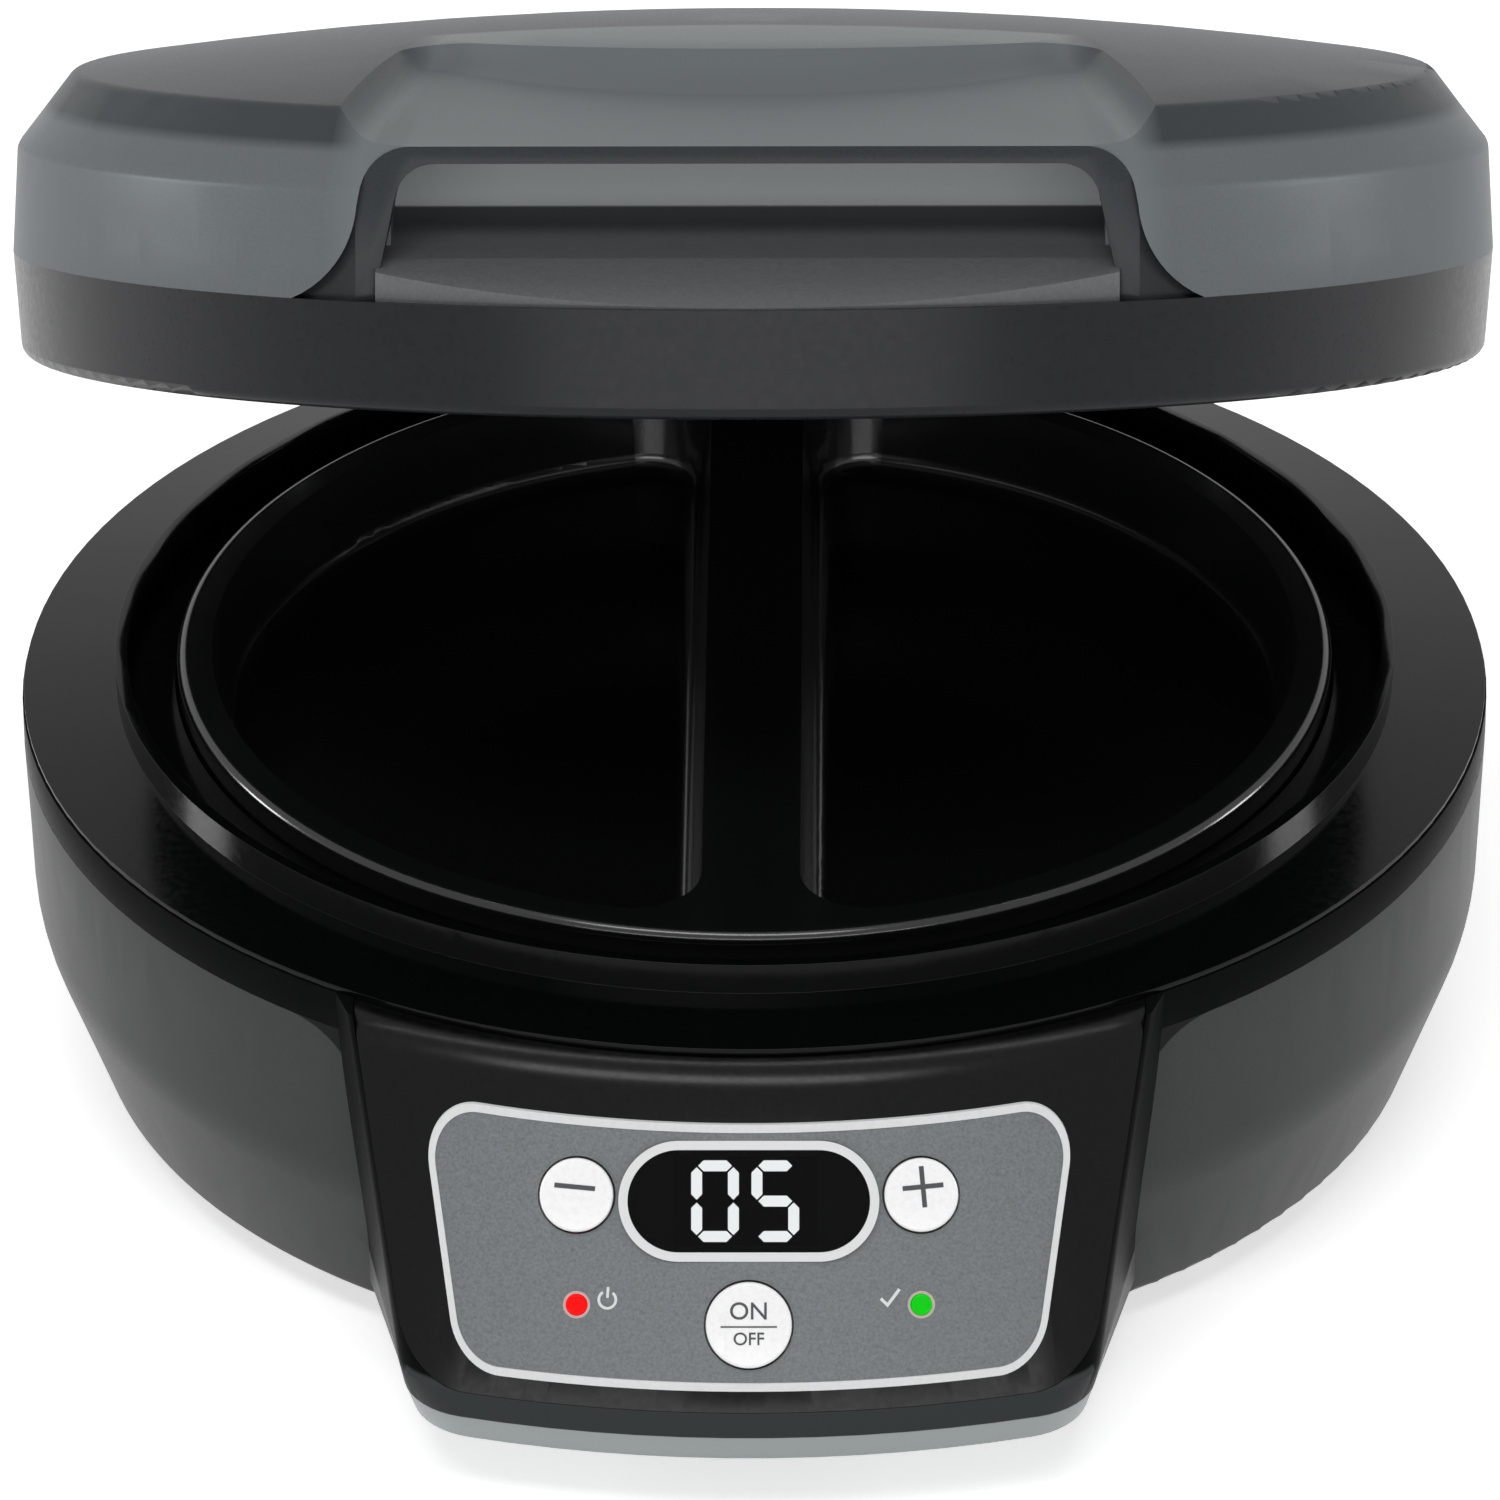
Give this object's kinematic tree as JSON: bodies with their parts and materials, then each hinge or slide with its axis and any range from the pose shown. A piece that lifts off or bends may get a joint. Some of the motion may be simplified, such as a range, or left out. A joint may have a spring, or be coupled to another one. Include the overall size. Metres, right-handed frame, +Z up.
{
  "type": "omelette maker",
  "caption": "Round countertop omelette maker with a hinged lid, two half-moon wells, a scooped lid handle and a leaning front console with display, buttons and lamps.",
  "frame": {"origin": "under the middle of the part, on the surface that the feet stand on", "axes": "+Z up, -Y towards the console at the front, +X to the right when facing the console"},
  "size_m": [0.2706, 0.3268, 0.2244],
  "materials": {
    "shell_grey": "satin metallic grey",
    "trim_black": "satin black",
    "deck_black": "glossy black",
    "nonstick": "black non-stick coating",
    "fascia_black": "glossy black",
    "label_grey": "metallic grey print",
    "bright_line": "silver white",
    "window": "dark lens",
    "lit": "glowing white",
    "unlit": "dark grey",
    "red_lamp": "clear red",
    "green_lamp": "clear green",
    "rubber": "matte",
    "module_black": "matte black",
    "board": "green resist",
    "led": "clear",
    "screw_steel": "zinc plated",
    "element": "oxidised sheath",
    "sheet_steel": "bright sheet",
    "cover_black": "fine texture",
    "washer": "fibre",
    "lid_grey": "satin metallic grey",
    "band_black": "gloss black",
    "bezel_grey": "dark grey satin",
    "pocket_dark": "fine texture dark",
    "button_white": "satin white"
  },
  "bodies": {
    "base": {"outer_shell": "shell_grey", "rim_trim": "trim_black", "top_deck": "deck_black", "lower_cooking_plate": "nonstick", "console_fascia": "fascia_black", "label_panel": "label_grey", "panel_outline": "bright_line", "display_bezel": "bright_line", "display_window": "window", "lit_segments": "lit", "unlit_segments": "unlit", "power_lamp": "red_lamp", "ready_lamp": "green_lamp", "lamp_rings": "bright_line", "feet": "rubber", "display_module": "module_black", "control_board": "board", "tact_switches": "module_black", "lamp_leds": "led", "board_screws": "screw_steel", "lower_heating_element": "element", "lower_element_clips": "sheet_steel", "lower_reflector": "sheet_steel", "reflector_screws": "screw_steel", "lower_thermostat": "sheet_steel", "thermal_fuse": "sheet_steel", "power_board": "board", "power_board_screws": "screw_steel", "bottom_cover": "cover_black", "base_screws": "screw_steel", "cord_gland": "rubber", "hinge_bracket": "cover_black", "bracket_screws": "screw_steel", "hinge_pin": "screw_steel", "pin_clips": "sheet_steel", "friction_washers": "washer"},
    "lid": {"lid_shell": "lid_grey", "lid_band": "band_black", "handle_bezel": "bezel_grey", "handle_pocket": "pocket_dark", "lid_liner": "deck_black", "upper_cooking_plate": "nonstick", "upper_heating_element": "element", "upper_element_clips": "sheet_steel", "upper_reflector": "sheet_steel", "upper_reflector_screws": "screw_steel", "upper_thermostat": "sheet_steel", "lid_screws": "screw_steel", "hinge_arm": "cover_black", "hinge_arm_screws": "screw_steel"},
    "minus_button": {"minus_button": "button_white", "minus_plunger": "module_black"},
    "plus_button": {"plus_button": "button_white", "plus_plunger": "module_black"},
    "start_button": {"start_button": "button_white", "start_plunger": "module_black"}
  },
  "joints": [
    {"name": "lid_hinge", "type": "hinge", "parent": "base", "child": "lid", "pos_m": [0, 0.15394, 0.0732], "axis": [-1, 0, 0], "range_deg": [-22.56, 72]},
    {"name": "minus_press", "type": "slide", "parent": "base", "child": "minus_button", "axis": [0, 0.848, -0.5299], "range_m": [0, 0.0008], "stiffness_N_per_m": 900, "springref_m": -0.0006},
    {"name": "plus_press", "type": "slide", "parent": "base", "child": "plus_button", "axis": [0, 0.848, -0.5299], "range_m": [0, 0.0008], "stiffness_N_per_m": 900, "springref_m": -0.0006},
    {"name": "start_press", "type": "slide", "parent": "base", "child": "start_button", "axis": [0, 0.848, -0.5299], "range_m": [0, 0.0008], "stiffness_N_per_m": 900, "springref_m": -0.0006}
  ]
}
